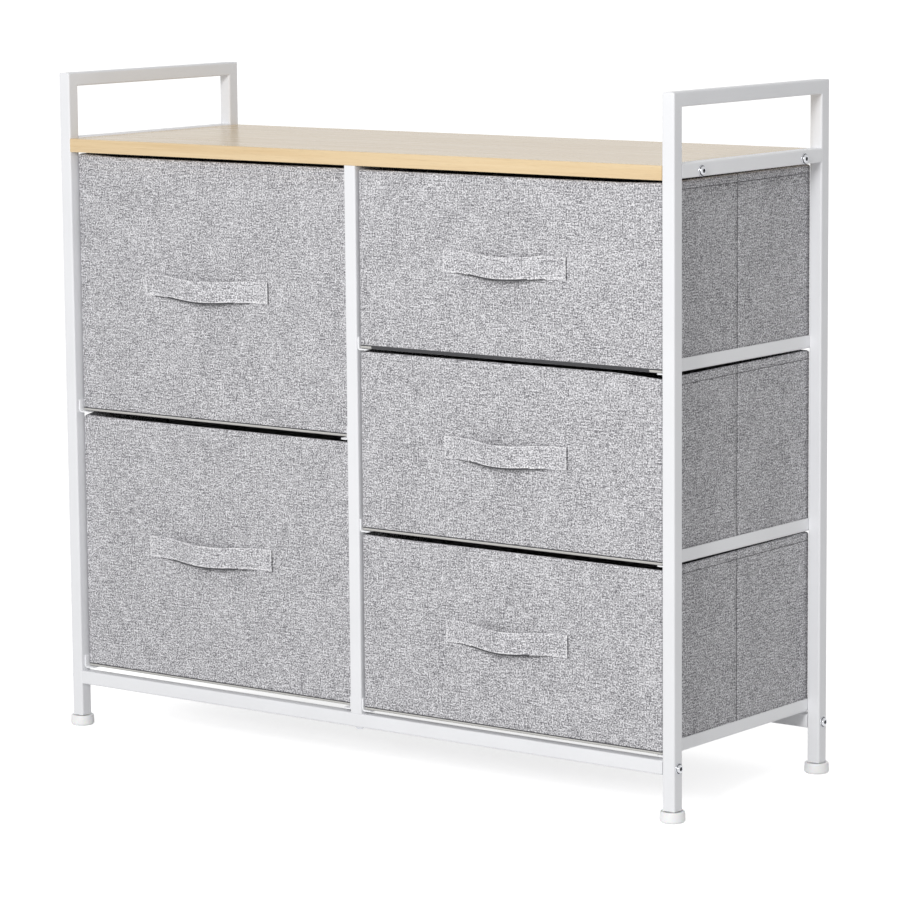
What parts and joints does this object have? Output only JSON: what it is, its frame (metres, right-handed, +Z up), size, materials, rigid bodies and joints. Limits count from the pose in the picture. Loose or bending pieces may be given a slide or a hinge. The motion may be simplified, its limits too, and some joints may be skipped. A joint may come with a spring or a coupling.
{
  "type": "fabric drawer dresser",
  "caption": "Low, wide dresser with a square-tube frame, a wood-grain top board between raised side handles, levelling feet, and grey fabric drawers with strap handles on L-section slides.",
  "frame": {"origin": "on the floor, at the centre of the frame's footprint; the straps stand forward of the frame, so the bounding box's centre is about 2 mm in front of it", "axes": "+X to the right seen from the front, +Y towards the back, +Z up"},
  "size_m": [0.842, 0.3058, 0.743],
  "materials": {
    "white_steel": "satin white powder coat",
    "wood_laminate": "matte light oak-grain laminate",
    "edge_band": "matte light oak-grain edge band",
    "grey_fabric": "woven heather grey linen look",
    "strap_webbing": "doubled and stitched grey fabric strap",
    "stiff_board": "plain stiff board",
    "white_plastic": "satin moulded",
    "bolt_chrome": "bright nickel plate",
    "plated_steel": "zinc plate"
  },
  "bodies": {
    "frame": {"left_front_post": "white_steel", "left_rear_post": "white_steel", "right_front_post": "white_steel", "right_rear_post": "white_steel", "left_handle_bar": "white_steel", "right_handle_bar": "white_steel", "left_crossbar": "white_steel", "right_crossbar": "white_steel", "centre_front_post": "white_steel", "centre_rear_post": "white_steel", "centre_top_bar": "white_steel", "bottom_front_rail": "white_steel", "bottom_rear_rail": "white_steel", "left_side_slide_lower": "white_steel", "left_side_slide_upper": "white_steel", "centre_left_slide_lower": "white_steel", "centre_left_slide_upper": "white_steel", "centre_right_slide_bottom": "white_steel", "centre_right_slide_middle": "white_steel", "centre_right_slide_top": "white_steel", "right_side_slide_bottom": "white_steel", "right_side_slide_middle": "white_steel", "right_side_slide_top": "white_steel", "top_board": "wood_laminate", "top_board_edge_bands": "edge_band", "board_bolts": "bolt_chrome", "rail_bolts": "bolt_chrome", "centre_post_bolts": "bolt_chrome", "board_inserts": "plated_steel", "rail_end_plugs": "plated_steel", "centre_post_plugs": "plated_steel", "post_end_plugs": "white_plastic"},
    "lower_left_drawer": {"lower_left_bin_shell": "grey_fabric", "lower_left_wall_panels": "stiff_board", "lower_left_base_board": "stiff_board", "lower_left_strap_handle": "strap_webbing"},
    "upper_left_drawer": {"upper_left_bin_shell": "grey_fabric", "upper_left_wall_panels": "stiff_board", "upper_left_base_board": "stiff_board", "upper_left_strap_handle": "strap_webbing"},
    "bottom_right_drawer": {"bottom_right_bin_shell": "grey_fabric", "bottom_right_wall_panels": "stiff_board", "bottom_right_base_board": "stiff_board", "bottom_right_strap_handle": "strap_webbing"},
    "middle_right_drawer": {"middle_right_bin_shell": "grey_fabric", "middle_right_wall_panels": "stiff_board", "middle_right_base_board": "stiff_board", "middle_right_strap_handle": "strap_webbing"},
    "top_right_drawer": {"top_right_bin_shell": "grey_fabric", "top_right_wall_panels": "stiff_board", "top_right_base_board": "stiff_board", "top_right_strap_handle": "strap_webbing"},
    "left_front_foot": {"left_front_foot": "white_plastic"},
    "right_front_foot": {"right_front_foot": "white_plastic"},
    "left_rear_foot": {"left_rear_foot": "white_plastic"},
    "right_rear_foot": {"right_rear_foot": "white_plastic"}
  },
  "joints": [
    {"name": "lower_left_slide", "type": "slide", "parent": "frame", "child": "lower_left_drawer", "axis": [0, -1, 0], "range_m": [0, 0.21]},
    {"name": "upper_left_slide", "type": "slide", "parent": "frame", "child": "upper_left_drawer", "axis": [0, -1, 0], "range_m": [0, 0.21]},
    {"name": "bottom_right_slide", "type": "slide", "parent": "frame", "child": "bottom_right_drawer", "axis": [0, -1, 0], "range_m": [-0.007, 0.21]},
    {"name": "middle_right_slide", "type": "slide", "parent": "frame", "child": "middle_right_drawer", "axis": [0, -1, 0], "range_m": [-0.007, 0.21]},
    {"name": "top_right_slide", "type": "slide", "parent": "frame", "child": "top_right_drawer", "axis": [0, -1, 0], "range_m": [-0.007, 0.21]},
    {"name": "left_front_foot_turn", "type": "hinge", "parent": "frame", "child": "left_front_foot", "pos_m": [-0.4075, -0.1375, 0], "axis": [0, 0, 1], "range_deg": [0, 1800]},
    {"name": "right_front_foot_turn", "type": "hinge", "parent": "frame", "child": "right_front_foot", "pos_m": [0.4075, -0.1375, 0], "axis": [0, 0, 1], "range_deg": [0, 1800]},
    {"name": "left_rear_foot_turn", "type": "hinge", "parent": "frame", "child": "left_rear_foot", "pos_m": [-0.4075, 0.1375, 0], "axis": [0, 0, 1], "range_deg": [0, 1800]},
    {"name": "right_rear_foot_turn", "type": "hinge", "parent": "frame", "child": "right_rear_foot", "pos_m": [0.4075, 0.1375, 0], "axis": [0, 0, 1], "range_deg": [0, 1800]}
  ]
}
